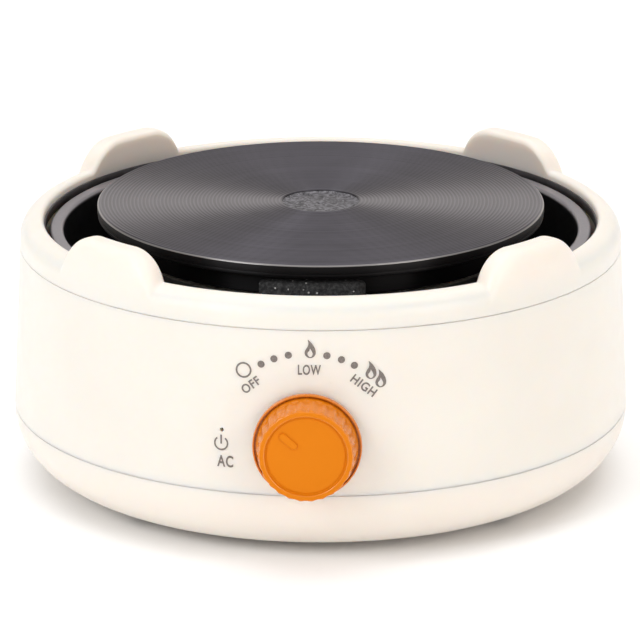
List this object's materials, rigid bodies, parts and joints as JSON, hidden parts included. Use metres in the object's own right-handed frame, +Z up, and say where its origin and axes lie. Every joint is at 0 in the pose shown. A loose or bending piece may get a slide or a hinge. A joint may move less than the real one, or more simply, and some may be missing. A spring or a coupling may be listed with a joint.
{
  "type": "hot plate burner",
  "caption": "Round table-top electric hot plate: cast plate in a steel liner, cream housing with rounded ears on the rim to steady a pot, and a rotary heat knob.",
  "frame": {"origin": "centre of the base, on the surface that the rubber feet stand on", "axes": "+Z up along the plate's axis; the knob faces -Y; the cord gland faces +Y; +X to the right seen from the front"},
  "size_m": [0.2144, 0.2376, 0.1021],
  "materials": {
    "housing_plastic": "cream-white moulded plastic, semi-gloss",
    "foot_rubber": "matt black rubber",
    "cast_plate": "machined in fine concentric grooves, black heat-resistant coating",
    "liner_steel": "drawn steel, dark satin coating",
    "refractory": "rough dark refractory with pale specks",
    "fibre_pad": "pressed ceramic fibre",
    "sheet_steel": "zinc-coated sheet steel",
    "zinc_steel": "bright zinc-plated steel",
    "element_sheath": "heat-tinted steel sheath",
    "white_ceramic": "unglazed white steatite",
    "brass": "turned and stamped brass",
    "bimetal": "rolled bimetal",
    "knob_plastic": "orange moulded plastic, satin gloss",
    "black_plastic": "black nylon",
    "block_plastic": "natural nylon",
    "lamp_glass": "clear glass neon capsule",
    "fuse_metal": "drawn case",
    "lead_brown": "brown braided sleeve",
    "lead_blue": "blue braided sleeve",
    "lead_green": "green braided sleeve"
  },
  "bodies": {
    "stove": {"base": "housing_plastic", "base_screws": "zinc_steel", "bimetal_strip": "bimetal", "bridge_screws": "zinc_steel", "ceramic_front": "white_ceramic", "ceramic_middle": "white_ceramic", "ceramic_rear": "white_ceramic", "clamp_screws": "zinc_steel", "earth_screw": "zinc_steel", "earth_tag": "brass", "fixed_blade": "brass", "fuse_saddle": "sheet_steel", "gland_body": "black_plastic", "gland_lock_nut": "black_plastic", "gland_nut": "black_plastic", "gland_seal": "foot_rubber", "heat_shield": "sheet_steel", "heating_element": "element_sheath", "hot_plate": "cast_plate", "housing": "housing_plastic", "indicator_lamp": "lamp_glass", "insulation_pad": "fibre_pad", "insulation_pan": "sheet_steel", "lamp_holder": "black_plastic", "lead_bushes": "white_ceramic", "lead_coil_live": "lead_brown", "lead_coil_neutral": "lead_blue", "lead_earth": "lead_green", "lead_live": "lead_brown", "lead_switched": "lead_brown", "liner_dish": "liner_steel", "liner_screws": "zinc_steel", "liner_spacers": "white_ceramic", "moving_blade_foot": "brass", "plate_stud": "zinc_steel", "rubber_foot_1": "foot_rubber", "rubber_foot_2": "foot_rubber", "rubber_foot_3": "foot_rubber", "rubber_foot_4": "foot_rubber", "spindle_bush": "brass", "stack_nut": "zinc_steel", "stack_rivet": "zinc_steel", "stud_nut": "zinc_steel", "stud_washer": "zinc_steel", "support_bridge": "sheet_steel", "terminal_block": "block_plastic", "terminal_head": "refractory", "terminal_pins": "brass", "terminal_sleeves": "brass", "thermal_fuse": "fuse_metal", "thermostat_bracket": "sheet_steel", "thermostat_screws": "zinc_steel", "top_ring": "housing_plastic"},
    "control": {"knob": "knob_plastic", "knob_spring": "zinc_steel", "spindle": "brass"},
    "pin": {"push_pin": "white_ceramic"},
    "arm": {"contact_arm": "brass"}
  },
  "joints": [
    {"name": "knob_turn", "type": "hinge", "parent": "stove", "child": "control", "pos_m": [0, 0, 0.0438], "axis": [0, 1, 0], "range_deg": [0, 100]},
    {"name": "pin_slide", "type": "slide", "parent": "stove", "child": "pin", "axis": [0, -1, 0], "range_m": [0, 0.00112]},
    {"name": "arm_flex", "type": "hinge", "parent": "stove", "child": "arm", "pos_m": [0, -0.0838, 0.0325], "axis": [1, 0, 0], "range_deg": [0, 5.16]}
  ],
  "couplings": [
    {"joint": "pin_slide", "follows": "knob_turn", "m_per_rad": 0.00063},
    {"joint": "arm_flex", "follows": "knob_turn", "ratio": 0.0515}
  ]
}
